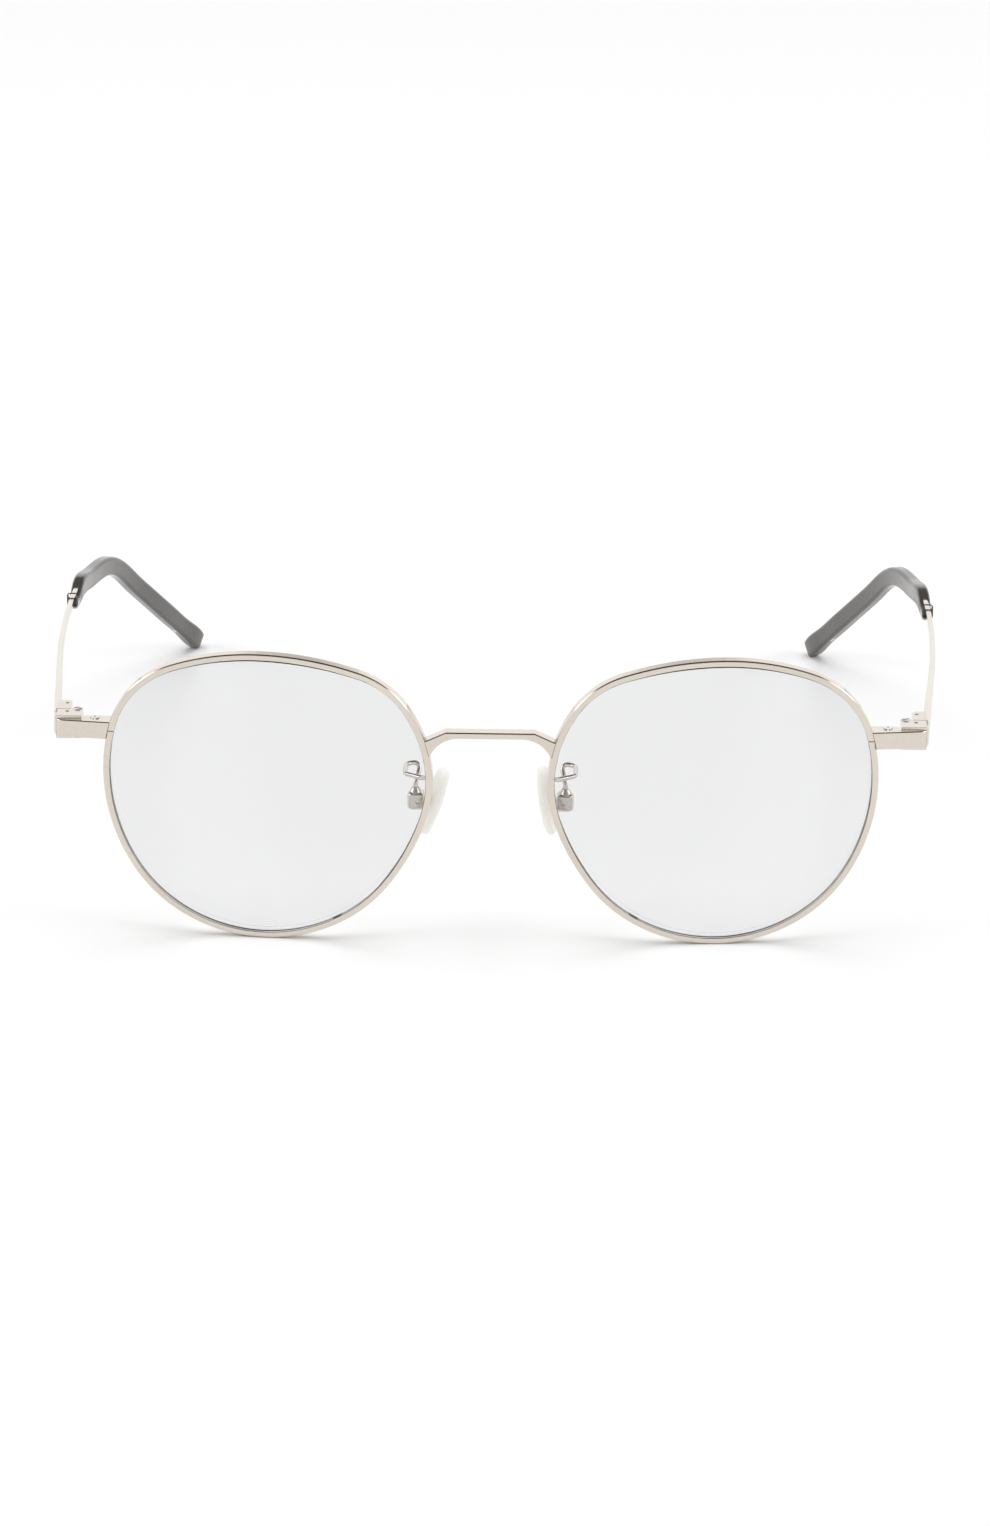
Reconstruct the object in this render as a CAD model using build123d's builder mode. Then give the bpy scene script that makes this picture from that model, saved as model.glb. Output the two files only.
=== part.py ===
from build123d import *
import math
import os

os.makedirs("parts", exist_ok=True)

# Round wire eyeglasses, standing open on a flat surface.
# Sizes are in millimetres and angles in degrees. X runs to the wearer's left, Y from the
# front back along the temples, and Z up. The pieces are laid out with Y = 0 at the middle
# of the eyewires, and are moved to the middle of the whole object when they are written.
# The glasses stand at Z = 0 on the lowest points of both eyewires and both temple tips.
# Everything is drawn for the wearer's left side, at positive X, and mirrored to the right.

# ---- Eye shape, along the middle line of the eyewire's metal ----
# Each half is five smooth arcs: bottom, lower side, upper side, corner and crown. An arc
# ends where the outline has turned by its angle from the lowest point.
eye_height = 49.95
eye_temporal_half = 25.3        # widest point on the temple side, from the lowest point
eye_nasal_half = 27.4           # widest point on the nose side, from the lowest point
eye_crown_shift = 0.4           # the highest point is this much nearer the temple
eye_low_offset = 0.6            # lowest point, towards the temple from the eye's centre
eye_low_share = 0.4965          # lowest point below the eye's centre, of the height
temporal_side_shares = (0.649, 0.649)   # radii of the two side arcs, of the height
temporal_arc_ends = (60, 80, 105, 160, 180)
nasal_side_shares = (0.831, 0.448)
nasal_arc_ends = (53, 72, 125, 162, 180)
eye_centre_x = 36.55
wrap = 4.0                      # each eye turns back towards its temple
tilt = 3.5                      # the top of each eye leans forwards

# ---- Eyewire and lens ----
wire_thickness = 1.1
wire_depth = 1.85
wire_rounding = 0.28
groove_depth = 0.5
bevel_half_angle = 45
lens_thickness = 1.5
lens_curve_radius = 260.0
lens_edge_clearance = 0.05
wire_gap = 0.12                 # the eyewire is open here until the closing screw is in

# ---- Bridge ----
bridge_height = 1.05
bridge_depth = 2.3
bridge_rounding = 0.25
bridge_rise = 12.5              # middle of the bar, above the eye's centre
bridge_foot_run = 2.0           # from the end of the flat bar to the eyewire
bridge_foot_slope = 25
bridge_foot_reach = 4.5         # how far the foot's drawing runs past the flat bar
bridge_hollow_run = 4.1         # the underside starts to curve this far from the eyewire
bridge_hollow_radius = 5.0
bridge_hollow_turn = 74

# ---- End piece: a strip from the eyewire round the corner to the hinge ----
strip_rise = 11.05              # middle of the strip, above the eye's centre
strip_height = 2.95
strip_thickness = 1.15
strip_rounding = 0.2
strip_wrap = 7.0                # the strip turns back a little more than the eye does
strip_front_y = 0.7             # middle of the strip where it leaves the eyewire
strip_corner_radius = 1.5
strip_corner_inset = 0.25       # the corner is this much nearer the eye than the hinge line

# ---- Closing block and screw ----
block_length = 3.8
block_height = 2.75
block_wall = 0.2                # metal in front of and behind the screw's head
block_rounding = 0.6
closing_screw_setback = 1.9     # from the eyewire's outer edge to the screw
closing_shank_radius = 0.5
closing_head_radius = 0.75
closing_head_height = 0.5
head_proud = 0.15
slot_width = 0.28
slot_depth = 0.2
head_chamfer = 0.07

# ---- Hinge ----
hinge_inset = 3.25              # from the middle of the temple in to the screw
hinge_y = 5.0                   # the hinge line, where the end piece stops and the temple starts
hinge_height = 3.9
knuckle_radius = 0.95
knuckle_gap = 0.05
middle_knuckle_height = 1.36
hinge_shank_radius = 0.5
hinge_head_radius = 0.72
hinge_head_height = 0.4
running_clearance = 0.04
sweep_clearance = 0.15          # round the knuckles, where the other leaf turns past
stop_gap = 0.05                 # each side of the hinge line
rear_dimple_inset = 1.4         # from the middle of the temple
rear_dimple_setback = 2.6       # from the hinge line
front_dimple_inset = 1.7
front_dimple_lead = 1.1
leaf_length = 3.8               # temple leaf, back from the hinge line
leaf_overlap = 0.3              # how far the temple leaf is let into the temple
hinge_slot_turn = 22            # the screw's slot, from straight across
dimple_radius = 0.32
dimple_depth = 0.25

# ---- Temple and tip ----
temple_reach = 9.3              # from the eyewire's inner edge out to the temple's middle
temple_splay = 5.1              # outward heading at the hinge
temple_slope = 5.3              # fall towards the back
temple_waist_start = 12.0       # here the end's full section has become the slim wire
temple_waist_thickness = 1.08
temple_waist_height = 2.5
temple_rear_thickness = 0.85
temple_rear_height = 1.5
splay_end = 34.0                # distances along the temple's middle line
tip_start = 75.6
tuck_end = 118.6
tuck = 27.4                     # inward heading of the tip
bend_start = 98.3
bend_end = 109.2
bend_slope = 39.8               # fall of the tip behind the ear
tip_height = 3.4
tip_thickness = 2.3
tip_mouth_height = 2.7
tip_mouth_thickness = 1.95
tip_taper_length = 15.0
tip_rounding = 0.6
tip_end_rounding = 0.9
core_end_setback = 7.0          # the metal core stops short of the tip's end
core_height = 1.3
core_thickness = 0.8
mouth_pocket_depth = 0.7
mouth_pocket_side = 0.3         # gap round the core in the tip's mouth
mouth_pocket_top = 0.45

# ---- Nose pad, its box and its arm ----
pad_axis_inset = 2.15           # from the eyewire's nose side in to the pad's screw
pad_axis_y = 3.8
pad_axis_drop = 1.4             # the pad screw is this far below the eye's centre
pad_height = 12.2
pad_width = 6.2
pad_thickness = 1.5
pad_rounding = 0.6
pad_corner_radius = 2.9
pad_offset = 2.65               # from the pad screw to the middle of the pad
pad_frontal_angle = 14.0       # top of the pad towards the nose, midway in its rocking
pad_splay_angle = 12.0         # front edge of the pad towards the nose
left_pad_rock = -4.5            # how far the pads stand rocked, top towards the nose
right_pad_rock = 4.5
pad_setback = 0.8               # the pad's middle is this far behind its screw
pad_fall = 0.45                 # and this far below it
core_plate_width = 3.0
core_plate_height = 5.0
core_plate_thickness = 0.5
boss_radius = 0.7
boss_length = 1.2
neck_height = 1.0
box_nasal_side = 1.0            # from the pad screw to the box's open side
box_temporal_side = 1.7
box_depth = 2.4
box_height = 3.0
box_side_rounding = 1.0
box_edge_rounding = 0.6
box_slot_height = 2.0
box_slot_clearance = 0.1
pad_shank_radius = 0.35
pad_head_radius = 0.65
pad_head_height = 0.35
pad_head_proud = 0.1
pad_screw_recess = 0.3          # the shank's end sits inside the box's front face
cap_height = 0.8
cap_top_radius = 0.6
cap_base_radius = 1.0
arm_radius = 0.4
arm_loop_rise = 4.3             # the loop of the arm, above the eye's centre
arm_loop_inset = 4.1            # from the eyewire's nose side in to the far side of the loop
arm_loop_back = 6.3
arm_loop_lead = 3.0
arm_bite = 0.4                  # the arm starts this far inside the eyewire's metal
arm_fall = 0.3                  # from the eyewire down to the loop
arm_loop_flat = 1.1             # of the loop's outer side, before its rear bend
arm_drop_lead = 1.4             # straight part above the box
arm_drop_lean = 0.8
arm_bends = (1.3, 1.3, 0.8, 0.5)

# ---- Places worked out from the sizes above ----
eye_low_drop = eye_height * eye_low_share
half_thickness = wire_thickness / 2
half_depth = wire_depth / 2
sin_tilt = math.sin(math.radians(tilt))
cos_tilt = math.cos(math.radians(tilt))
sin_wrap = math.sin(math.radians(wrap))
cos_wrap = math.cos(math.radians(wrap))
eye_centre_z = (
    (eye_low_drop + half_thickness - wire_rounding) * cos_tilt
    + (half_depth - wire_rounding) * sin_tilt
    + wire_rounding
)
eye_plane = Plane(
    origin=(eye_centre_x, 0, eye_centre_z),
    x_dir=(cos_wrap, sin_wrap, 0),
    z_dir=(sin_wrap * cos_tilt, -cos_wrap * cos_tilt, -sin_tilt),
)
strip_z = eye_centre_z + strip_rise
strip_low = strip_z - strip_height / 2
strip_high = strip_z + strip_height / 2
hinge_low = strip_z - hinge_height / 2
hinge_high = strip_z + hinge_height / 2
middle_low = strip_z - middle_knuckle_height / 2
middle_high = strip_z + middle_knuckle_height / 2
pad_axis_z = eye_centre_z - pad_axis_drop
strip_start_x = eye_centre_x + eye_temporal_half - half_thickness
temple_x = strip_start_x + temple_reach
hinge_x = temple_x - hinge_inset
nasal_edge_x = eye_centre_x - eye_nasal_half + eye_low_offset
pad_axis_x = nasal_edge_x + pad_axis_inset


def eye_radii(half_width, crown_x, side_shares, arc_ends):
    """Radii of the five arcs that close one half of the eye with smooth joins."""
    sines = [math.sin(math.radians(end)) for end in arc_ends]
    cosines = [math.cos(math.radians(end)) for end in arc_ends]
    lower, upper = [eye_height * share for share in side_shares]
    bottom = (half_width - lower * (sines[1] - sines[0]) - upper * (1 - sines[1])) / sines[0]
    # what is left across and upwards for the corner and crown arcs
    reach = crown_x - bottom * sines[0] - lower * (sines[1] - sines[0]) - upper * (sines[2] - sines[1])
    rise = eye_height - bottom * (1 - cosines[0])
    rise -= lower * (cosines[0] - cosines[1]) + upper * (cosines[1] - cosines[2])
    corner_across = sines[3] - sines[2]
    corner_up = cosines[2] - cosines[3]
    span = corner_across * (1 + cosines[3]) + sines[3] * corner_up
    corner = (reach * (1 + cosines[3]) + rise * sines[3]) / span
    crown = (rise * corner_across - reach * corner_up) / span
    return bottom, lower, upper, corner, crown


temporal_radii = eye_radii(
    eye_temporal_half, eye_crown_shift, temporal_side_shares, temporal_arc_ends
)
nasal_radii = eye_radii(eye_nasal_half, -eye_crown_shift, nasal_side_shares, nasal_arc_ends)
eye_halves = ((1, temporal_radii, temporal_arc_ends), (-1, nasal_radii, nasal_arc_ends))


def eye_face(inset):
    """The eye's shape as a flat face, its edge moved inwards from the middle line."""
    with BuildSketch(eye_plane) as face:
        with BuildLine():
            for side, radii, arc_ends in eye_halves:
                point = (eye_low_offset, -eye_low_drop + inset)
                heading = (side, 0)
                previous_end = 0
                for radius, arc_end in zip(radii, arc_ends):
                    arc = JernArc(point, heading, radius - inset, side * (arc_end - previous_end))
                    point = arc @ 1
                    heading = arc % 1
                    previous_end = arc_end
        make_face()
    return face.sketch


eye_path = eye_face(0).face().outer_wire()
path_start = eye_path @ 0
path_heading = eye_path % 0
# Across the eyewire: local x points out of the eye and local y towards the back.
section_plane = Plane(
    origin=path_start,
    x_dir=path_heading.cross(eye_plane.z_dir),
    z_dir=path_heading,
)


def eye_plane_y(x, z):
    """Y of the eye's middle plane at a place in the front view."""
    normal = eye_plane.z_dir
    return -((x - eye_centre_x) * normal.X + (z - eye_centre_z) * normal.Z) / normal.Y


# ---- Eyewire: a grooved wire bent round the lens, open at the closing block ----
bevel_inner = -half_thickness - lens_edge_clearance
bevel_tip = -half_thickness + groove_depth
bevel_half = (bevel_tip - bevel_inner) * math.tan(math.radians(bevel_half_angle))

with BuildPart() as eyewire:
    with BuildSketch(section_plane) as wire_section:
        RectangleRounded(wire_thickness, wire_depth, wire_rounding)
    sweep(path=eye_path)
    with BuildSketch(section_plane) as groove_section:
        with BuildLine():
            Polyline((bevel_inner, -bevel_half), (bevel_tip, 0), (bevel_inner, bevel_half), close=True)
        make_face()
    sweep(path=eye_path, mode=Mode.SUBTRACT)
    with BuildSketch(Plane.XY.offset(strip_z - wire_gap / 2)) as gap_cut:
        with Locations((eye_centre_x, 0)):
            Rectangle(2 * eye_temporal_half, 6 * wire_depth, align=(Align.MIN, Align.CENTER))
    extrude(amount=wire_gap, mode=Mode.SUBTRACT)

# The space inside the eyewire's outer edge, which other soldered pieces stop at.
with BuildPart() as eye_disc:
    extrude(eye_face(-half_thickness), amount=2 * wire_depth, both=True)

# ---- Demo lens: a shallow dome with a bevelled edge that sits in the groove ----
edge_distance = (eye_temporal_half + eye_nasal_half) / 2
lens_dome = edge_distance**2 / (2 * lens_curve_radius)
dome_centre = lens_thickness / 2 + lens_dome - lens_curve_radius

with BuildPart() as lens:
    extrude(eye_face(-bevel_inner), amount=2 * lens_thickness, both=True)
    with Locations(eye_plane.location * Location((0, 0, dome_centre), (90, 0, 0))):
        Sphere(lens_curve_radius, mode=Mode.INTERSECT)
        Sphere(lens_curve_radius - lens_thickness, mode=Mode.SUBTRACT)
    with BuildSketch(section_plane) as bevel_section:
        with BuildLine():
            Polyline(
                (bevel_inner - bevel_half, -bevel_half),
                (bevel_inner, -bevel_half),
                (bevel_tip, 0),
                (bevel_inner, bevel_half),
                (bevel_inner - bevel_half, bevel_half),
                close=True,
            )
        make_face()
    sweep(path=eye_path)

# ---- Bridge: a flat bar with a flared foot on each eyewire ----
bridge_z = eye_centre_z + bridge_rise
bridge_high = bridge_z + bridge_height / 2
bridge_low = bridge_z - bridge_height / 2
bridge_front_y = eye_plane_y(nasal_edge_x, bridge_z) - half_depth
bridge_flat_half = nasal_edge_x - half_thickness - bridge_foot_run
bridge_hollow_start = nasal_edge_x - half_thickness - bridge_hollow_run
foot_x = bridge_flat_half + bridge_foot_reach
foot_high = bridge_high - bridge_foot_reach * math.tan(math.radians(bridge_foot_slope))

with BuildPart() as bridge:
    with BuildSketch(Plane.XZ.offset(-bridge_front_y)) as bridge_face:
        with BuildLine():
            hollow = JernArc(
                (bridge_hollow_start, bridge_low), (1, 0), bridge_hollow_radius, -bridge_hollow_turn
            )
            Polyline(
                hollow @ 1,
                (foot_x, (hollow @ 1).Y),
                (foot_x, foot_high),
                (bridge_flat_half, bridge_high),
                (0, bridge_high),
                (0, bridge_low),
                (bridge_hollow_start, bridge_low),
            )
        make_face()
        mirror(about=Plane.YZ)
    extrude(amount=-bridge_depth)
    outline_edges = bridge.edges().filter_by(Axis.Y, reverse=True)
    fillet(outline_edges, radius=bridge_rounding)
    add(eye_disc.part, mode=Mode.SUBTRACT)
    mirrored_disc = mirror(eye_disc.part, about=Plane.YZ, mode=Mode.PRIVATE)
    add(mirrored_disc, mode=Mode.SUBTRACT)

# ---- End piece ----
corner_x = temple_x - strip_corner_inset
corner_y = strip_front_y + (corner_x - strip_start_x) * math.tan(math.radians(strip_wrap))
wing_end_y = hinge_y - stop_gap
wing_end_x = temple_x - (hinge_y - wing_end_y) * math.tan(math.radians(temple_splay))

with BuildPart() as end_piece:
    with BuildSketch(Plane.XY.offset(strip_low)) as strip_plan:
        with BuildLine():
            FilletPolyline(
                (strip_start_x, strip_front_y),
                (corner_x, corner_y),
                (wing_end_x, wing_end_y),
                radius=strip_corner_radius,
            )
        trace(line_width=strip_thickness)
    extrude(amount=strip_height)
    long_edges = end_piece.edges().filter_by(Plane.XY)
    fillet(long_edges.filter_by(lambda edge: edge.length > 2), radius=strip_rounding)
    add(eye_disc.part, mode=Mode.SUBTRACT)


# ---- Closing block: two halves soldered to the two ends of the eyewire ----
block_outer_x = strip_start_x + wire_thickness + block_length
closing_x = strip_start_x + wire_thickness + closing_screw_setback
block_front_y = strip_front_y + strip_thickness / 2
closing_y = (
    block_front_y
    + (closing_x - strip_start_x) * math.tan(math.radians(strip_wrap))
    + closing_head_radius
    + block_wall
)
block_back_y = closing_y + closing_head_radius + block_wall
block_low = strip_z - block_height / 2
block_high = strip_z + block_height / 2
half_gap = wire_gap / 2


def block_half(low, high):
    """One half of the closing block, fitted to the eyewire and the end piece."""
    with BuildPart() as half:
        with BuildSketch(Plane.XY.offset(low)):
            with Locations((strip_start_x, block_front_y)):
                Rectangle(
                    block_outer_x - strip_start_x,
                    block_back_y - block_front_y,
                    align=(Align.MIN, Align.MIN),
                )
        extrude(amount=high - low)
        outer_edges = half.edges().filter_by(Axis.Z).group_by(Axis.X)[-1]
        fillet(outer_edges.sort_by(Axis.Y)[-1], radius=block_rounding)
        add(eye_disc.part, mode=Mode.SUBTRACT)
        add(end_piece.part, mode=Mode.SUBTRACT)
    return half.part


with BuildPart() as closing_block_upper:
    add(block_half(strip_z + half_gap, block_high))
    with BuildSketch(Plane.XY.offset(block_high)):
        with Locations((closing_x, closing_y)):
            Circle(closing_shank_radius + running_clearance)
    extrude(amount=-block_height, mode=Mode.SUBTRACT)
    with BuildSketch(Plane.XY.offset(block_high)):
        with Locations((closing_x, closing_y)):
            Circle(closing_head_radius + running_clearance)
    extrude(amount=head_proud - closing_head_height, mode=Mode.SUBTRACT)

with BuildPart() as closing_block_lower:
    add(block_half(block_low, strip_z - half_gap))
    with BuildSketch(Plane.XY.offset(block_low)):
        with Locations((closing_x, closing_y)):
            Circle(closing_shank_radius)
    extrude(amount=block_height, mode=Mode.SUBTRACT)


def slotted_screw(plane, head_radius, head_height, shank_radius, length):
    """A screw whose head stands up from the plane's origin and whose shank hangs below it."""
    with BuildPart() as screw:
        with BuildSketch(plane):
            Circle(head_radius)
        extrude(amount=head_height)
        chamfer(screw.edges().group_by(Axis(plane.origin, plane.z_dir))[-1], length=head_chamfer)
        with BuildSketch(plane):
            Circle(shank_radius)
        extrude(amount=-length)
        with BuildSketch(plane.offset(head_height)):
            Rectangle(2 * head_radius, slot_width)
        extrude(amount=-slot_depth, mode=Mode.SUBTRACT)
    return screw.part


closing_seat = Plane(
    origin=(closing_x, closing_y, block_high + head_proud - closing_head_height),
    x_dir=(0, 1, 0),
    z_dir=(0, 0, 1),
)
with BuildPart() as closing_screw:
    add(
        slotted_screw(
            closing_seat,
            closing_head_radius,
            closing_head_height,
            closing_shank_radius,
            closing_seat.origin.Z - block_low,
        )
    )

# ---- Temple: a flat wire that tapers back and runs on as the core of the tip ----


def change(distance, start, end, before, after):
    """A value that changes evenly between two distances along the temple."""
    share = min(max((distance - start) / (end - start), 0), 1)
    return before + (after - before) * share


def temple_heading(distance):
    """Outward heading of the temple, seen from above."""
    outward = change(distance, splay_end, tip_start, temple_splay, 0)
    return outward - change(distance, tip_start, tuck_end, 0, tuck)


def temple_fall(distance):
    """Downward slope of the temple, seen from the side."""
    return change(distance, bend_start, bend_end, temple_slope, bend_slope)


def temple_direction(distance):
    heading = math.radians(temple_heading(distance))
    fall = math.radians(temple_fall(distance))
    return Vector(math.sin(heading) * math.cos(fall), math.cos(heading) * math.cos(fall), -math.sin(fall))


def temple_point(distance):
    """Place on the temple's middle line, stepped along from the hinge line."""
    steps = max(int(abs(distance) * 4), 1)
    length = distance / steps
    point = Vector(temple_x, hinge_y, strip_z)
    for step in range(steps):
        point += temple_direction((step + 0.5) * length) * length
    return point


def temple_plane(distance):
    """Plane across the temple: local x points outwards and local y downwards."""
    heading = math.radians(temple_heading(distance))
    return Plane(
        origin=temple_point(distance),
        x_dir=(math.cos(heading), -math.sin(heading), 0),
        z_dir=temple_direction(distance),
    )


def temple_loft(stations, rounding):
    """A solid through rounded sections given as (distance, thickness, height)."""
    with BuildPart() as body:
        for distance, thickness, height in stations:
            with BuildSketch(temple_plane(distance)):
                RectangleRounded(thickness, height, min(rounding, 0.4 * thickness))
        loft()
    return body.part


# The tip is as long as it takes for its rounded end to rest on the table.
end_fall = math.radians(bend_slope)
end_middle_z = (
    tip_end_rounding
    + (tip_height / 2 - tip_end_rounding) * math.cos(end_fall)
    - tip_end_rounding * math.sin(end_fall)
)
tip_end = bend_end + (temple_point(bend_end).Z - end_middle_z) / math.sin(end_fall)
core_end = tip_end - core_end_setback
core_rounding = core_thickness / 4
front_overrun = 1.0

# From its full section at the hinge the temple narrows quickly, then ever more slowly.
temple_stations = [
    (-front_overrun, strip_thickness, strip_height),
    (leaf_length / 2, strip_thickness, strip_height),
]
narrowing_turns = 5
for turn in range(narrowing_turns + 1):
    share = turn / narrowing_turns
    left_over = (1 - share) ** 2
    temple_stations.append(
        (
            temple_waist_start + (tip_start - temple_waist_start) * share,
            temple_rear_thickness + (temple_waist_thickness - temple_rear_thickness) * left_over,
            temple_rear_height + (temple_waist_height - temple_rear_height) * left_over,
        )
    )
core_turns = 7
for turn in range(1, core_turns + 1):
    station = tip_start + (core_end - tip_start) * turn / core_turns
    temple_stations.append((station, core_thickness, core_height))

with BuildPart() as temple:
    add(temple_loft(temple_stations, strip_rounding))
    with BuildSketch(Plane.XZ.offset(-hinge_y - stop_gap)):
        with Locations((temple_x, strip_z)):
            Rectangle(4 * strip_thickness, 2 * strip_height)
    extrude(amount=2 * front_overrun, mode=Mode.SUBTRACT)

tip_stations = [
    (tip_start, tip_mouth_thickness, tip_mouth_height),
    (
        tip_start + tip_taper_length / 2,
        (tip_mouth_thickness + tip_thickness) / 2,
        (tip_mouth_height + tip_height) / 2,
    ),
]
tip_turns = 9
full_start = tip_start + tip_taper_length
full_end = tip_end - tip_end_rounding
for turn in range(tip_turns + 1):
    station = full_start + (full_end - full_start) * turn / tip_turns
    tip_stations.append((station, tip_thickness, tip_height))
for angle in (25, 50, 70, 84):
    inset = tip_end_rounding * (1 - math.cos(math.radians(angle)))
    station = full_end + tip_end_rounding * math.sin(math.radians(angle))
    tip_stations.append((station, tip_thickness - 2 * inset, tip_height - 2 * inset))

with BuildPart() as temple_tip:
    add(temple_loft(tip_stations, tip_rounding))
    add(temple.part, mode=Mode.SUBTRACT)
    with BuildSketch(temple_plane(tip_start)):
        RectangleRounded(
            core_thickness + 2 * mouth_pocket_side,
            core_height + 2 * mouth_pocket_top,
            core_rounding,
        )
    extrude(amount=mouth_pocket_depth, mode=Mode.SUBTRACT)

# ---- Hinge: front leaf on the end piece, temple leaf on the temple, one screw ----
temple_side_y = hinge_y + stop_gap
leaf_inner_x = hinge_x + knuckle_radius + sweep_clearance

with BuildPart() as hinge_front_leaf:
    with BuildSketch(Plane.XY.offset(hinge_low)):
        with Locations((hinge_x, hinge_y)):
            Circle(knuckle_radius)
        with Locations((hinge_x - knuckle_radius, hinge_y - stop_gap)):
            Rectangle(2 * knuckle_radius, hinge_y - strip_front_y, align=(Align.MIN, Align.MAX))
        with Locations((hinge_x, hinge_y - stop_gap)):
            Rectangle(temple_x - hinge_x, hinge_y - strip_front_y, align=(Align.MIN, Align.MAX))
    extrude(amount=hinge_height)
    with BuildSketch(Plane.XY.offset(middle_low - knuckle_gap)):
        with Locations((hinge_x, hinge_y)):
            Circle(knuckle_radius + sweep_clearance)
    extrude(amount=middle_knuckle_height + 2 * knuckle_gap, mode=Mode.SUBTRACT)
    # nothing of the leaf comes through to the front of the strip
    with BuildSketch(Plane.XY.offset(hinge_low)):
        with Locations((hinge_x - knuckle_radius, 0)):
            Rectangle(
                temple_x - hinge_x + knuckle_radius,
                strip_front_y + strip_thickness,
                align=(Align.MIN, Align.MIN),
            )
    extrude(amount=hinge_height, mode=Mode.SUBTRACT)
    add(end_piece.part, mode=Mode.SUBTRACT)

with BuildPart() as hinge_temple_leaf:
    # middle knuckle with the arm that joins it to the leaf
    with BuildSketch(Plane.XY.offset(middle_low)):
        with Locations((hinge_x, hinge_y)):
            Circle(knuckle_radius)
        with Locations((hinge_x, temple_side_y)):
            Rectangle(temple_x - hinge_x, knuckle_radius - stop_gap, align=(Align.MIN, Align.MIN))
    extrude(amount=middle_knuckle_height)
    with BuildSketch(Plane.XY.offset(hinge_low)):
        with Locations((leaf_inner_x, temple_side_y)):
            Rectangle(temple_x + leaf_overlap - leaf_inner_x, leaf_length, align=(Align.MIN, Align.MIN))
    extrude(amount=hinge_height)
    rear_edge = hinge_temple_leaf.edges().filter_by(Axis.Z).sort_by(Axis.Y)[-2:].sort_by(Axis.X)[0]
    fillet(rear_edge, radius=knuckle_radius)
    with BuildSketch(Plane.XY.offset(middle_low)):
        with Locations((hinge_x, hinge_y)):
            Circle(hinge_shank_radius + running_clearance)
    extrude(amount=middle_knuckle_height, mode=Mode.SUBTRACT)
    with BuildSketch(Plane.XY.offset(hinge_high)):
        with Locations((temple_x - rear_dimple_inset, hinge_y + rear_dimple_setback)):
            Circle(dimple_radius)
    extrude(amount=-dimple_depth, mode=Mode.SUBTRACT)
    add(temple.part, mode=Mode.SUBTRACT)

# ---- Nose pad box: a small cup with a slot for the pad's boss and a cap for the arm ----
box_low = pad_axis_z - box_height / 2
box_high = pad_axis_z + box_height / 2
box_middle_x = pad_axis_x + (box_temporal_side - box_nasal_side) / 2
box_front_plane = Plane(
    origin=(pad_axis_x, pad_axis_y - box_depth / 2, pad_axis_z),
    x_dir=(1, 0, 0),
    z_dir=(0, -1, 0),
)

with BuildPart() as pad_box:
    with BuildSketch(Plane.XY.offset(box_low)):
        with Locations((box_middle_x, pad_axis_y)):
            Rectangle(box_nasal_side + box_temporal_side, box_depth)
    extrude(amount=box_height)
    fillet(pad_box.edges().filter_by(Axis.Z).sort_by(Axis.X)[-2:], radius=box_side_rounding)
    fillet(pad_box.edges().filter_by(Plane.XY), radius=box_edge_rounding)
    with BuildSketch(Plane.XY.offset(box_high)) as cap_base:
        with Locations((box_middle_x, pad_axis_y)):
            Circle(cap_base_radius)
    with BuildSketch(Plane.XY.offset(box_high + cap_height)) as cap_top:
        with Locations((box_middle_x, pad_axis_y)):
            Circle(cap_top_radius)
    loft()
    # the slot that the pad's boss turns in, open towards the nose
    slot_reach = boss_radius + 2 * box_slot_clearance
    with BuildSketch(Plane.XZ.offset(-pad_axis_y)):
        with Locations((pad_axis_x - box_nasal_side, pad_axis_z)):
            Rectangle(box_nasal_side + slot_reach, box_slot_height, align=(Align.MIN, Align.CENTER))
    extrude(amount=boss_length / 2 + box_slot_clearance, both=True, mode=Mode.SUBTRACT)
    with BuildSketch(box_front_plane):
        Circle(pad_shank_radius)
    extrude(amount=-box_depth, mode=Mode.SUBTRACT)
    with BuildSketch(box_front_plane.offset(-box_depth)):
        Circle(pad_head_radius)
    extrude(amount=pad_head_height, mode=Mode.SUBTRACT)

screw_seat = Plane(
    origin=(pad_axis_x, pad_axis_y + box_depth / 2 - pad_head_height, pad_axis_z),
    x_dir=(1, 0, 0),
    z_dir=(0, 1, 0),
)
with BuildPart() as pad_screw:
    add(
        slotted_screw(
            screw_seat,
            pad_head_radius,
            pad_head_height + pad_head_proud,
            pad_shank_radius,
            box_depth - pad_head_height - pad_screw_recess,
        )
    )

# ---- Pad arm: a round wire that loops back from the eyewire and drops into the box ----
arm_z = eye_centre_z + arm_loop_rise
arm_start_x = nasal_edge_x + half_thickness - arm_bite
arm_start_y = eye_plane_y(arm_start_x, arm_z)
arm_loop_x = nasal_edge_x + arm_loop_inset

with BuildPart() as pad_arm:
    with BuildLine() as arm_line:
        FilletPolyline(
            (arm_start_x, arm_start_y, arm_z + arm_fall),
            (arm_loop_x, arm_start_y + arm_loop_lead, arm_z),
            (arm_loop_x, arm_loop_back - arm_loop_flat, arm_z),
            (box_middle_x - arm_drop_lean, arm_loop_back, arm_z),
            (box_middle_x, pad_axis_y, box_high + arm_drop_lead),
            (box_middle_x, pad_axis_y, box_high),
            radius=arm_bends,
        )
    with BuildSketch(Plane(origin=arm_line.line @ 0, z_dir=arm_line.line % 0)):
        Circle(arm_radius)
    sweep(path=arm_line.line)
    add(eyewire.part, mode=Mode.SUBTRACT)
    add(lens.part, mode=Mode.SUBTRACT)

with BuildPart() as pad_box_bored:
    add(pad_box.part)
    add(pad_arm.part, mode=Mode.SUBTRACT)

# ---- Nose pad and the core moulded into it ----
tip_in = math.radians(pad_frontal_angle)
turn_in = math.radians(pad_splay_angle)
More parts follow.
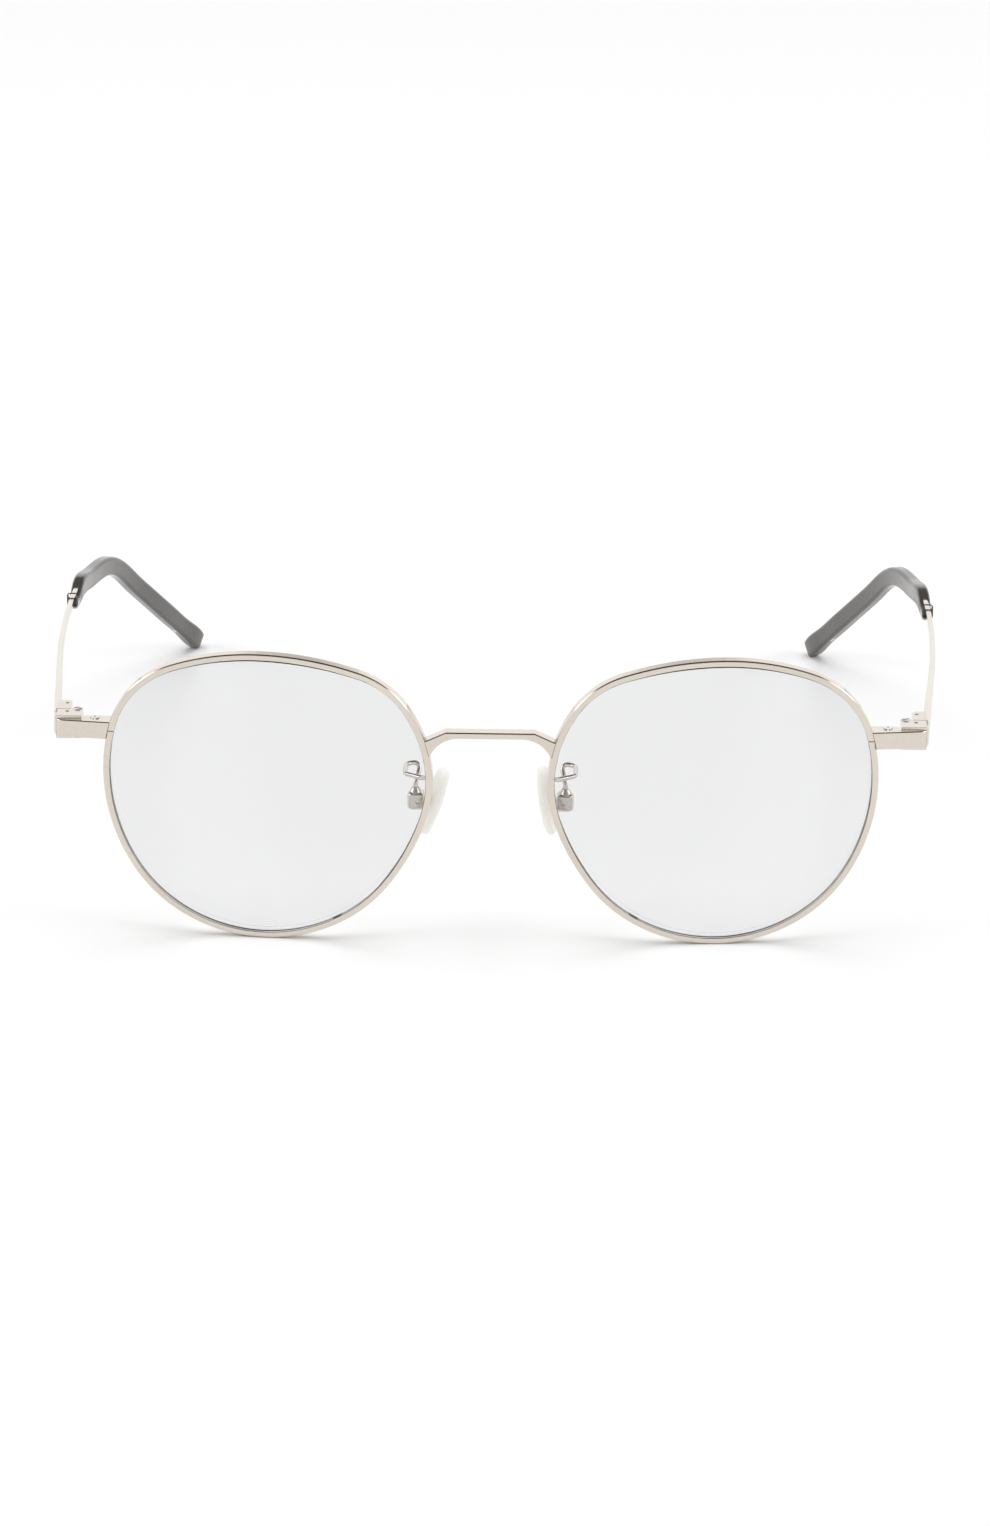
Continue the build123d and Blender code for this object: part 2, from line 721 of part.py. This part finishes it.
# The pad's face looks at the nose, and its top and front edge are the nearest to it.
pad_up = Vector(-math.sin(tip_in), 0, math.cos(tip_in))
pad_back = Vector(math.sin(turn_in) * math.cos(tip_in), math.cos(turn_in), math.sin(turn_in) * math.sin(tip_in))
pad_normal = pad_up.cross(pad_back).normalized()
pad_centre = Vector(pad_axis_x - pad_offset, pad_axis_y + pad_setback, pad_axis_z - pad_fall)
pad_plane = Plane(origin=pad_centre, x_dir=pad_back, z_dir=pad_normal)

with BuildPart() as nose_pad_blank:
    with BuildSketch(pad_plane.offset(-pad_thickness / 2)):
        RectangleRounded(pad_width, pad_height, pad_corner_radius)
    extrude(amount=pad_thickness)
    fillet(nose_pad_blank.edges(), radius=pad_rounding)

with BuildPart() as pad_core:
    # a plate inside the pad
    with BuildSketch(pad_plane.offset(-core_plate_thickness / 2)):
        Ellipse(core_plate_width / 2, core_plate_height / 2)
    extrude(amount=core_plate_thickness)
    # an eye round the pad screw, and a neck between them
    with BuildSketch(Plane.XZ.offset(-pad_axis_y)):
        with Locations((pad_axis_x, pad_axis_z)):
            Circle(boss_radius)
        with Locations((pad_axis_x, pad_axis_z)):
            Rectangle(pad_offset, neck_height, align=(Align.MAX, Align.CENTER))
    extrude(amount=boss_length / 2, both=True)
    with BuildSketch(Plane.XZ.offset(-pad_axis_y)):
        with Locations((pad_axis_x, pad_axis_z)):
            Circle(pad_shank_radius + running_clearance)
    extrude(amount=boss_length, both=True, mode=Mode.SUBTRACT)

with BuildPart() as nose_pad:
    add(nose_pad_blank.part)
    add(pad_core.part, mode=Mode.SUBTRACT)

# ---- The front leaf's dimple, screw hole and screw ----
with BuildPart() as hinge_front_leaf_bored:
    add(hinge_front_leaf.part)
    with BuildSketch(Plane.XY.offset(hinge_high)):
        with Locations((hinge_x, hinge_y)):
            Circle(hinge_shank_radius)
    extrude(amount=-hinge_height, mode=Mode.SUBTRACT)
    with BuildSketch(Plane.XY.offset(hinge_high)):
        with Locations((hinge_x, hinge_y)):
            Circle(hinge_head_radius)
    extrude(amount=head_proud - hinge_head_height, mode=Mode.SUBTRACT)
    with BuildSketch(Plane.XY.offset(hinge_high)):
        with Locations((temple_x - front_dimple_inset, hinge_y - front_dimple_lead)):
            Circle(dimple_radius)
    extrude(amount=-dimple_depth, mode=Mode.SUBTRACT)

hinge_seat = Plane(
    origin=(hinge_x, hinge_y, hinge_high + head_proud - hinge_head_height),
    x_dir=(math.cos(math.radians(hinge_slot_turn)), math.sin(math.radians(hinge_slot_turn)), 0),
    z_dir=(0, 0, 1),
)
with BuildPart() as hinge_screw:
    add(
        slotted_screw(
            hinge_seat,
            hinge_head_radius,
            hinge_head_height,
            hinge_shank_radius,
            hinge_seat.origin.Z - hinge_low,
        )
    )

# ---- Write every piece, moved so that the origin is under the middle of the whole object ----
left_pieces = {
    "eyewire": eyewire.part,
    "lens": lens.part,
    "closing_block_upper": closing_block_upper.part,
    "closing_block_lower": closing_block_lower.part,
    "closing_screw": closing_screw.part,
    "end_piece": end_piece.part,
    "hinge_front_leaf": hinge_front_leaf_bored.part,
    "hinge_screw": hinge_screw.part,
    "pad_arm": pad_arm.part,
    "pad_box": pad_box_bored.part,
    "pad_screw": pad_screw.part,
    "temple": temple.part,
    "hinge_temple_leaf": hinge_temple_leaf.part,
    "temple_tip": temple_tip.part,
}
# The pads turn freely on their screws and stand rocked a little differently on the two sides.
rocking_pieces = {"nose_pad": nose_pad.part, "pad_core": pad_core.part}
rocking_axis = Axis((pad_axis_x, pad_axis_y, pad_axis_z), (0, -1, 0))

front_y = eyewire.part.bounding_box().min.Y
back_y = temple_tip.part.bounding_box().max.Y
to_origin = Location((0, -(front_y + back_y) / 2, 0))


def write_piece(shape, name):
    with BuildPart() as piece:
        add(shape.moved(to_origin))
    piece.part.label = name
    export_step(piece.part, f"parts/{name}.step")


write_piece(bridge.part, "bridge")
for piece_name, left_piece in left_pieces.items():
    write_piece(left_piece, f"left_{piece_name}")
    write_piece(left_piece.mirror(Plane.YZ), f"right_{piece_name}")
for piece_name, level_piece in rocking_pieces.items():
    write_piece(level_piece.rotate(rocking_axis, left_pad_rock), f"left_{piece_name}")
    rocked_piece = level_piece.rotate(rocking_axis, right_pad_rock)
    write_piece(rocked_piece.mirror(Plane.YZ), f"right_{piece_name}")
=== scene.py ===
import math

import bmesh
import bpy
from mathutils import Matrix, Vector


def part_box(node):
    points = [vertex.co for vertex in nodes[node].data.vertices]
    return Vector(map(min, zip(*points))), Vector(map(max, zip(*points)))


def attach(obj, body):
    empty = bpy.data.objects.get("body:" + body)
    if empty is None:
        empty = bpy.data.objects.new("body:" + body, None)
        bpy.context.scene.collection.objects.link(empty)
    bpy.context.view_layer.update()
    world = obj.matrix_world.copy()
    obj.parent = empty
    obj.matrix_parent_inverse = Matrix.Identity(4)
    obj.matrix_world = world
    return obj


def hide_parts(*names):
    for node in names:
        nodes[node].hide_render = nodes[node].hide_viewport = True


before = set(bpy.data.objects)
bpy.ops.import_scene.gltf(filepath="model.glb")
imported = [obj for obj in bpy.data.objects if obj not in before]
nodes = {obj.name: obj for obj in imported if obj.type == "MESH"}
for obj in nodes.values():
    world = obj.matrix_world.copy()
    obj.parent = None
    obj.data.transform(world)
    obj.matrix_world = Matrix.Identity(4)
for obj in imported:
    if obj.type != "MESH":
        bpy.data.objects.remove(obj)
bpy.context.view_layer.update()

SIDES = {"left": 1, "right": -1}


# ---- Node helpers ----
def new_tree(owner):
    owner.use_nodes = True
    owner.node_tree.nodes.clear()
    return owner.node_tree


def add_node(tree, kind, inputs=None, **settings):
    node = tree.nodes.new(kind)
    for name, value in settings.items():
        setattr(node, name, value)
    for name, value in (inputs or {}).items():
        if isinstance(value, bpy.types.NodeSocket):
            tree.links.new(value, node.inputs[name])
        else:
            node.inputs[name].default_value = value
    return node


def combine(tree, operation, first, second):
    """One number from two, each a fixed value or another node's output."""
    node = add_node(tree, "ShaderNodeMath", {0: first, 1: second}, operation=operation)
    return node.outputs["Value"]


def show_surface(tree, surface):
    """Join a finished shader to its material's output."""
    output = add_node(tree, "ShaderNodeOutputMaterial")
    tree.links.new(surface, output.inputs["Surface"])


def ramp(tree, value, stops):
    """A ramp of greys from (position, grey) stops."""
    node = add_node(tree, "ShaderNodeValToRGB", {"Fac": value})
    elements = node.color_ramp.elements
    while len(elements) < len(stops):
        elements.new(0.5)
    for element, (position, grey) in zip(elements, stops):
        element.position = position
        element.color = (grey, grey, grey, 1)
    return node.outputs["Color"]


def effect_group(name, inputs, outputs):
    """An empty shader group with (name, default) inputs and named outputs."""
    group = bpy.data.node_groups.new(name, "ShaderNodeTree")
    group.interface.new_socket("Vector", in_out="INPUT", socket_type="NodeSocketVector")
    for socket_name, default in inputs:
        socket = group.interface.new_socket(socket_name, in_out="INPUT", socket_type="NodeSocketFloat")
        socket.default_value = default
    for socket_name in outputs:
        group.interface.new_socket(socket_name, in_out="OUTPUT", socket_type="NodeSocketFloat")
    start = group.nodes.new("NodeGroupInput")
    end = group.nodes.new("NodeGroupOutput")
    return group, start, end


# ---- Effects that several finishes use ----
def build_brushing():
    """Fine parallel grain, stretched along X, with a height for its bump."""
    group, start, end = effect_group("Fine brushing", [("Scale", 900.0)], ["Grain", "Height"])
    stretched = add_node(
        group,
        "ShaderNodeVectorMath",
        {0: start.outputs["Vector"], 1: (0.06, 1.0, 1.0)},
        operation="MULTIPLY",
    )
    fine = add_node(
        group,
        "ShaderNodeTexNoise",
        {
            "Vector": stretched.outputs["Vector"],
            "Scale": start.outputs["Scale"],
            "Detail": 3.0,
            "Roughness": 0.6,
        },
    )
    grain = add_node(
        group, "ShaderNodeMapRange", {"Value": fine.outputs["Fac"], "From Min": 0.3, "From Max": 0.7}
    )
    group.links.new(grain.outputs["Result"], end.inputs["Grain"])
    group.links.new(fine.outputs["Fac"], end.inputs["Height"])
    return group


def build_handling():
    """Broad soft smudges and short hairline scratches left by handling."""
    group, start, end = effect_group("Handling marks", [("Scale", 60.0)], ["Smudges", "Scratches"])
    broad = add_node(
        group,
        "ShaderNodeTexNoise",
        {
            "Vector": start.outputs["Vector"],
            "Scale": start.outputs["Scale"],
            "Detail": 5.0,
            "Roughness": 0.55,
        },
    )
    smudges = add_node(
        group, "ShaderNodeMapRange", {"Value": broad.outputs["Fac"], "From Min": 0.42, "From Max": 0.68}
    )
    long_way = add_node(
        group,
        "ShaderNodeVectorMath",
        {0: start.outputs["Vector"], 1: (0.25, 0.8, 1.0)},
        operation="MULTIPLY",
    )
    many = combine(group, "MULTIPLY", start.outputs["Scale"], 14.0)
    cracks = add_node(
        group,
        "ShaderNodeTexVoronoi",
        {"Vector": long_way.outputs["Vector"], "Scale": many},
        feature="DISTANCE_TO_EDGE",
    )
    hairlines = add_node(
        group,
        "ShaderNodeMapRange",
        {
            "Value": cracks.outputs["Distance"],
            "From Min": 0.0,
            "From Max": 0.03,
            "To Min": 1.0,
            "To Max": 0.0,
        },
    )
    kept = combine(group, "MULTIPLY", hairlines.outputs["Result"], smudges.outputs["Result"])
    group.links.new(smudges.outputs["Result"], end.inputs["Smudges"])
    group.links.new(kept, end.inputs["Scratches"])
    return group


def build_mottle():
    """Two sizes of soft patches, for colour that drifts over a piece."""
    group, start, end = effect_group("Soft mottling", [("Scale", 40.0)], ["Broad", "Fine"])
    broad = add_node(
        group,
        "ShaderNodeTexNoise",
        {"Vector": start.outputs["Vector"], "Scale": start.outputs["Scale"], "Detail": 2.0},
    )
    finer = combine(group, "MULTIPLY", start.outputs["Scale"], 9.0)
    fine = add_node(
        group,
        "ShaderNodeTexNoise",
        {"Vector": start.outputs["Vector"], "Scale": finer, "Detail": 4.0},
    )
    for noise, name in ((broad, "Broad"), (fine, "Fine")):
        spread = add_node(
            group, "ShaderNodeMapRange", {"Value": noise.outputs["Fac"], "From Min": 0.3, "From Max": 0.7}
        )
        group.links.new(spread.outputs["Result"], end.inputs[name])
    return group


EASED_EDGE = 0.00012  # how far a metal edge's highlight is softened, in metres

brushing = build_brushing()
handling = build_handling()
mottle = build_mottle()


def place(tree, group, coordinates, scale):
    """One of the shared effects, at a scale of its own."""
    node = add_node(tree, "ShaderNodeGroup", node_tree=group)
    tree.links.new(coordinates, node.inputs["Vector"])
    node.inputs["Scale"].default_value = scale
    return node


def tone(tree, factor, first, second):
    """A colour between two, by a factor that varies over the piece."""
    node = add_node(tree, "ShaderNodeMix", data_type="RGBA")
    tree.links.new(factor, node.inputs["Factor"])
    node.inputs[6].default_value = (*first, 1)
    node.inputs[7].default_value = (*second, 1)
    return node.outputs[2]


def level(tree, factor, low, high):
    """A factor from 0 to 1, spread between two values instead."""
    node = add_node(tree, "ShaderNodeMapRange", {"Value": factor, "To Min": low, "To Max": high})
    return node.outputs["Result"]


# ---- Finishes ----
def plated_metal(name, light, dark, smooth, satin, front_satin, grain_scale, bump):
    """Plated metal: satin in front, polished on its edges, with grain, hairlines and smudges.

    Roughness runs from smooth to satin with the grain, and front_satin is added on front faces.
    """
    material = bpy.data.materials.new(name)
    tree = new_tree(material)
    coordinates = add_node(tree, "ShaderNodeTexCoord").outputs["Object"]
    grain = place(tree, brushing, coordinates, grain_scale)
    marks = place(tree, handling, coordinates, 70.0)
    drift = place(tree, mottle, coordinates, 45.0)
    base = tone(tree, drift.outputs["Broad"], light, dark)
    worn = add_node(tree, "ShaderNodeMix", data_type="RGBA")
    tree.links.new(level(tree, marks.outputs["Scratches"], 0.0, 0.35), worn.inputs["Factor"])
    tree.links.new(base, worn.inputs[6])
    worn.inputs[7].default_value = (*[min(1.0, c * 1.15) for c in light], 1)
    facing = add_node(tree, "ShaderNodeTexCoord").outputs["Normal"]
    forwards = add_node(tree, "ShaderNodeSeparateXYZ", {"Vector": facing})
    front = add_node(
        tree,
        "ShaderNodeMapRange",
        {
            "Value": forwards.outputs["Y"],
            "From Min": -0.7,
            "From Max": -0.95,
            "To Min": 0.0,
            "To Max": front_satin,
        },
    )
    grain_polish = level(tree, grain.outputs["Grain"], smooth, satin)
    smudge_haze = level(tree, marks.outputs["Smudges"], 0.0, 0.05)
    polish = combine(tree, "ADD", grain_polish, smudge_haze)
    roughness = combine(tree, "ADD", polish, front.outputs["Result"])
    scratch_depth = level(tree, marks.outputs["Scratches"], 0.0, 0.6)
    height = combine(tree, "SUBTRACT", grain.outputs["Height"], scratch_depth)
    eased = add_node(tree, "ShaderNodeBevel", {"Radius": EASED_EDGE}, samples=6)
    relief = add_node(
        tree,
        "ShaderNodeBump",
        {
            "Height": height,
            "Strength": bump,
            "Distance": 0.00002,
            "Normal": eased.outputs["Normal"],
        },
    )
    shader = add_node(
        tree,
        "ShaderNodeBsdfPrincipled",
        {
            "Base Color": worn.outputs[2],
            "Metallic": 1.0,
            "Roughness": roughness,
            "Normal": relief.outputs["Normal"],
        },
    )
    show_surface(tree, shader.outputs["BSDF"])
    return material


def tip_acetate():
    """Dark warm grey acetate, tumbled glossy, with a faint cloudiness inside."""
    material = bpy.data.materials.new("Tip acetate")
    tree = new_tree(material)
    coordinates = add_node(tree, "ShaderNodeTexCoord").outputs["Object"]
    marks = place(tree, handling, coordinates, 55.0)
    drift = place(tree, mottle, coordinates, 70.0)
    cloud = tone(tree, drift.outputs["Broad"], (0.036, 0.030, 0.027), (0.062, 0.053, 0.048))
    speck = add_node(tree, "ShaderNodeMix", data_type="RGBA")
    tree.links.new(level(tree, drift.outputs["Fine"], 0.0, 0.25), speck.inputs["Factor"])
    tree.links.new(cloud, speck.inputs[6])
    speck.inputs[7].default_value = (0.085, 0.073, 0.065, 1)
    gloss = level(tree, drift.outputs["Fine"], 0.16, 0.22)
    smudge_haze = level(tree, marks.outputs["Smudges"], 0.0, 0.12)
    roughness = combine(tree, "ADD", gloss, smudge_haze)
    height = combine(tree, "SUBTRACT", drift.outputs["Fine"], marks.outputs["Scratches"])
    relief = add_node(tree, "ShaderNodeBump", {"Height": height, "Strength": 0.12, "Distance": 0.00003})
    shader = add_node(
        tree,
        "ShaderNodeBsdfPrincipled",
        {
            "Base Color": speck.outputs[2],
            "Roughness": roughness,
            "Coat Weight": 0.6,
            "Coat Roughness": 0.12,
            "Normal": relief.outputs["Normal"],
        },
    )
    show_surface(tree, shader.outputs["BSDF"])
    return material


def demo_lens():
    """Clear moulded lens: even, with the faintest dust and wiping marks in its gloss."""
    material = bpy.data.materials.new("Demo lens")
    tree = new_tree(material)
    coordinates = add_node(tree, "ShaderNodeTexCoord").outputs["Object"]
    marks = place(tree, handling, coordinates, 22.0)
    drift = place(tree, mottle, coordinates, 12.0)
    colour = tone(tree, drift.outputs["Broad"], (0.815, 0.818, 0.822), (0.83, 0.833, 0.837))
    shader = add_node(
        tree,
        "ShaderNodeBsdfPrincipled",
        {
            "Base Color": colour,
            "Roughness": level(tree, marks.outputs["Smudges"], 0.0, 0.03),
            "Transmission Weight": 1.0,
            "IOR": 1.49,
        },
    )
    see_through = add_node(tree, "ShaderNodeBsdfTransparent", {"Color": (0.93, 0.932, 0.934, 1)})
    path = add_node(tree, "ShaderNodeLightPath")
    mix = add_node(tree, "ShaderNodeMixShader", {0: path.outputs["Is Shadow Ray"]})
    tree.links.new(shader.outputs["BSDF"], mix.inputs[1])
    tree.links.new(see_through.outputs["BSDF"], mix.inputs[2])
    show_surface(tree, mix.outputs["Shader"])
    return material


def pad_silicone():
    """Milky silicone: light glows through it, and its skin is softly matt and unevenly worn."""
    material = bpy.data.materials.new("Pad silicone")
    tree = new_tree(material)
    coordinates = add_node(tree, "ShaderNodeTexCoord").outputs["Object"]
    marks = place(tree, handling, coordinates, 160.0)
    drift = place(tree, mottle, coordinates, 180.0)
    colour = tone(tree, drift.outputs["Broad"], (0.87, 0.85, 0.79), (0.91, 0.895, 0.84))
    skin = level(tree, drift.outputs["Fine"], 0.28, 0.4)
    smudge_haze = level(tree, marks.outputs["Smudges"], 0.0, 0.1)
    roughness = combine(tree, "ADD", skin, smudge_haze)
    relief = add_node(
        tree, "ShaderNodeBump", {"Height": drift.outputs["Fine"], "Strength": 0.15, "Distance": 0.00004}
    )
    shader = add_node(
        tree,
        "ShaderNodeBsdfPrincipled",
        {
            "Base Color": colour,
            "Roughness": roughness,
            "Transmission Weight": 0.06,
            "IOR": 1.41,
            "Subsurface Weight": 1.0,
            "Subsurface Radius": (1.0, 0.97, 0.88),
            "Subsurface Scale": 0.002,
            "Normal": relief.outputs["Normal"],
        },
    )
    show_surface(tree, shader.outputs["BSDF"])
    return material


def core_plastic():
    """The stiff moulded core inside a pad."""
    material = bpy.data.materials.new("Pad core")
    tree = new_tree(material)
    coordinates = add_node(tree, "ShaderNodeTexCoord").outputs["Object"]
    drift = place(tree, mottle, coordinates, 300.0)
    relief = add_node(
        tree, "ShaderNodeBump", {"Height": drift.outputs["Fine"], "Strength": 0.2, "Distance": 0.00003}
    )
    shader = add_node(
        tree,
        "ShaderNodeBsdfPrincipled",
        {
            "Base Color": tone(tree, drift.outputs["Broad"], (0.86, 0.85, 0.8), (0.93, 0.925, 0.9)),
            "Roughness": level(tree, drift.outputs["Fine"], 0.25, 0.4),
            "Normal": relief.outputs["Normal"],
        },
    )
    show_surface(tree, shader.outputs["BSDF"])
    return material


frame_metal = plated_metal(
    "Champagne plating",
    light=(0.73, 0.665, 0.59),
    dark=(0.67, 0.605, 0.535),
    smooth=0.05,
    satin=0.09,
    front_satin=0.17,
    grain_scale=900.0,
    bump=0.1,
)
hinge_metal = plated_metal(
    "Tumbled nickel",
    light=(0.74, 0.69, 0.635),
    dark=(0.66, 0.61, 0.56),
    smooth=0.06,
    satin=0.13,
    front_satin=0.05,
    grain_scale=1500.0,
    bump=0.12,
)
screw_metal = plated_metal(
    "Turned screw steel",
    light=(0.78, 0.755, 0.725),
    dark=(0.68, 0.655, 0.63),
    smooth=0.07,
    satin=0.14,
    front_satin=0.0,
    grain_scale=2600.0,
    bump=0.2,
)
finishes = {
    "eyewire": frame_metal,
    "bridge": frame_metal,
    "end_piece": frame_metal,
    "temple": frame_metal,
    "closing_block_upper": hinge_metal,
    "closing_block_lower": hinge_metal,
    "hinge_front_leaf": hinge_metal,
    "hinge_temple_leaf": hinge_metal,
    "pad_arm": hinge_metal,
    "pad_box": hinge_metal,
    "closing_screw": screw_metal,
    "hinge_screw": screw_metal,
    "pad_screw": screw_metal,
    "lens": demo_lens(),
    "nose_pad": pad_silicone(),
    "pad_core": core_plastic(),
    "temple_tip": tip_acetate(),
}


def finish_of(node_name):
    """The finish of a CAD piece, the same on both sides."""
    for prefix in ("left_", "right_"):
        if node_name.startswith(prefix):
            node_name = node_name[len(prefix):]
    return finishes[node_name]


for node_name, node_object in nodes.items():
    finish = finish_of(node_name)
    if not node_object.data.materials:
        node_object.data.materials.append(finish)
    for place_in_list in range(len(node_object.data.materials)):
        node_object.data.materials[place_in_list] = finish


# ---- Nose pads: soft pillows of silicone, moulded round their cores ----
PAD_WIDTH = 0.0062
PAD_HEIGHT = 0.0122
PAD_THICKNESS = 0.0015
PAD_SPLAY = 12.0  # degrees, open towards the back
PAD_LEANS = {"left": 9.5, "right": 18.5}  # degrees from upright
PAD_TOP_TAPER = 0.12  # share of the width lost at the top
PAD_EDGE_SHARE = 0.42  # of the thickness, rounded off all round
PAD_STEP_SHARE = 0.12  # of the width, between the steps of the domed faces
PAD_RISES = (0.03, 0.01)  # of the thickness, at each step


def nose_pad(side):
    """A rounded drop-shaped pillow where the CAD pad is, riding on that pad's body."""
    name = side + "_nose_pad"
    low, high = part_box(name)
    centre = (low + high) / 2
    lean = math.radians(PAD_LEANS[side]) * SIDES[side]
    splay = math.radians(PAD_SPLAY) * SIDES[side]
    shape = bmesh.new()
    bmesh.ops.create_circle(shape, cap_ends=True, segments=28, radius=0.5)
    for vertex in shape.verts:
        # fuller below the middle than above it, like a drop
        vertex.co.x = math.copysign(abs(vertex.co.x * 2) ** 0.8 / 2, vertex.co.x)
        vertex.co.y = math.copysign(abs(vertex.co.y * 2) ** 0.9 / 2, vertex.co.y)
        vertex.co.x *= 1.0 - PAD_TOP_TAPER * max(vertex.co.y, 0) * 2
    bmesh.ops.scale(shape, verts=shape.verts, vec=(PAD_WIDTH, PAD_HEIGHT, 1))
    bmesh.ops.translate(shape, verts=shape.verts, vec=(0, 0, -PAD_THICKNESS / 2))
    raised = bmesh.ops.extrude_face_region(shape, geom=shape.faces[:])
    top_verts = [part for part in raised["geom"] if isinstance(part, bmesh.types.BMVert)]
    bmesh.ops.translate(shape, verts=top_verts, vec=(0, 0, PAD_THICKNESS))
    bmesh.ops.recalc_face_normals(shape, faces=shape.faces)
    rims = [edge for edge in shape.edges if any(len(face.verts) > 4 for face in edge.link_faces)]
    bmesh.ops.bevel(
        shape,
        geom=rims,
        offset=PAD_THICKNESS * PAD_EDGE_SHARE,
        segments=3,
        profile=0.5,
        affect="EDGES",
        material=-1,
    )
    for rise in PAD_RISES:
        caps = [face for face in shape.faces if len(face.verts) > 4]
        bmesh.ops.inset_region(
            shape,
            faces=caps,
            thickness=PAD_WIDTH * PAD_STEP_SHARE,
            depth=PAD_THICKNESS * rise,
            use_even_offset=True,
        )
    caps = [face for face in shape.faces if len(face.verts) > 4]
    bmesh.ops.poke(shape, faces=caps)
    placed = Matrix.Translation(centre)
    placed = placed @ Matrix.Rotation(-lean, 4, "Y")
    placed = placed @ Matrix.Rotation(math.radians(90) - splay, 4, "Z")
    placed = placed @ Matrix.Rotation(math.radians(90), 4, "X")
    bmesh.ops.transform(shape, matrix=placed, verts=shape.verts)
    bmesh.ops.recalc_face_normals(shape, faces=shape.faces)
    mesh = bpy.data.meshes.new("Silicone pad " + side)
    shape.to_mesh(mesh)
    shape.free()
    for face in mesh.polygons:
        face.use_smooth = True
    mesh.materials.append(finishes["nose_pad"])
    pad = bpy.data.objects.new("silicone_pad_" + side, mesh)
    bpy.context.scene.collection.objects.link(pad)
    rounding = pad.modifiers.new("Rounding", "SUBSURF")
    rounding.levels = 2
    rounding.render_levels = 2
    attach(pad, side + "_pad")
    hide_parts(name)


for side in SIDES:
    nose_pad(side)


# ---- Floor, world and lights ----
FLOOR_HALF = 4.0
ROOM_GREYS = [(0.0, 1.0), (0.44, 1.0), (0.54, 0.1), (1.0, 0.06)]  # by the sine of the height above level
BACK_STRENGTH = 1.16  # of the room behind the glasses, against 1 in front
SIDE_POWER = 6
OVERHEAD_POWER = 45


def build_floor():
    """A plain sheet of white paper."""
    mesh = bpy.data.meshes.new("Floor")
    shape = bmesh.new()
    bmesh.ops.create_grid(shape, x_segments=1, y_segments=1, size=FLOOR_HALF)
    shape.to_mesh(mesh)
    shape.free()
    floor = bpy.data.objects.new("Floor", mesh)
    bpy.context.scene.collection.objects.link(floor)
    material = bpy.data.materials.new("Paper floor")
    tree = new_tree(material)
    shader = add_node(
        tree,
        "ShaderNodeBsdfPrincipled",
        {"Base Color": (0.9, 0.9, 0.9, 1), "Roughness": 0.9, "Specular IOR Level": 0.1},
    )
    show_surface(tree, shader.outputs["BSDF"])
    mesh.materials.append(material)


def build_world():
    """A white room, brighter behind and dark overhead, so that top edges keep a dark line."""
    world = bpy.data.worlds.new("Studio")
    bpy.context.scene.world = world
    tree = new_tree(world)
    direction = add_node(tree, "ShaderNodeTexCoord").outputs["Generated"]
    split = add_node(tree, "ShaderNodeSeparateXYZ", {"Vector": direction})
    shade = ramp(tree, split.outputs["Z"], ROOM_GREYS)
    behind = add_node(
        tree,
        "ShaderNodeMapRange",
        {
            "Value": split.outputs["Y"],
            "From Min": 0.0,
            "From Max": 0.6,
            "To Min": 1.0,
            "To Max": BACK_STRENGTH,
        },
    )
    background = add_node(
        tree, "ShaderNodeBackground", {"Color": shade, "Strength": behind.outputs["Result"]}
    )
    output = add_node(tree, "ShaderNodeOutputWorld")
    tree.links.new(background.outputs["Background"], output.inputs["Surface"])


def soft_box(name, place_at, aim_at, width, height, power):
    """A rectangular soft light at one point, turned towards another."""
    light = bpy.data.lights.new(name, "AREA")
    light.shape = "RECTANGLE"
    light.size = width
    light.size_y = height
    light.energy = power
    lamp = bpy.data.objects.new(name, light)
    bpy.context.scene.collection.objects.link(lamp)
    lamp.location = place_at
    lamp.rotation_euler = (Vector(aim_at) - Vector(place_at)).to_track_quat("-Z", "Y").to_euler()
    return lamp


build_floor()
build_world()
middle = (0, 0, 0.02)
soft_box("Left box", (-1.4, -0.3, 0.8), middle, 0.9, 0.7, SIDE_POWER)
soft_box("Right box", (1.4, -0.3, 0.8), middle, 0.9, 0.7, SIDE_POWER)
overhead = soft_box("Overhead fill", (0.0, 0.2, 2.2), middle, 2.6, 2.6, OVERHEAD_POWER)
overhead.visible_glossy = False
bpy.context.scene.view_settings.view_transform = "Standard"

# ---- Camera ----
CAMERA_ELEVATION = 22.0  # degrees
CAMERA_TURN = 0.94  # degrees
CAMERA_ROLL = 0.447  # degrees
CAMERA_DISTANCE = 0.85
CAMERA_LENS = 123.7  # millimetres
TARGET_X = 0.00074
TARGET_Z = 0.03185
EYEWIRE_AHEAD_OF_HINGE = 0.005

hinge_low, hinge_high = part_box("left_hinge_screw")
eyewire_y = (hinge_low.y + hinge_high.y) / 2 - EYEWIRE_AHEAD_OF_HINGE
target = Vector((TARGET_X, eyewire_y, TARGET_Z))
turn = math.radians(CAMERA_TURN)
climb = math.radians(CAMERA_ELEVATION)
roll = math.radians(CAMERA_ROLL)
backward = Vector((math.sin(turn) * math.cos(climb), -math.cos(turn) * math.cos(climb), math.sin(climb)))
level_right = Vector((math.cos(turn), math.sin(turn), 0))
level_up = backward.cross(level_right)
right = math.cos(roll) * level_right + math.sin(roll) * level_up
up = backward.cross(right)
camera_data = bpy.data.cameras.new("Camera")
camera_data.lens = CAMERA_LENS
camera_data.sensor_width = 36.0
camera_data.clip_start = 0.05
camera = bpy.data.objects.new("Camera", camera_data)
bpy.context.scene.collection.objects.link(camera)
pose = Matrix((right, up, backward)).transposed().to_4x4()
pose.translation = target + backward * CAMERA_DISTANCE
camera.matrix_world = pose
bpy.context.scene.camera = camera
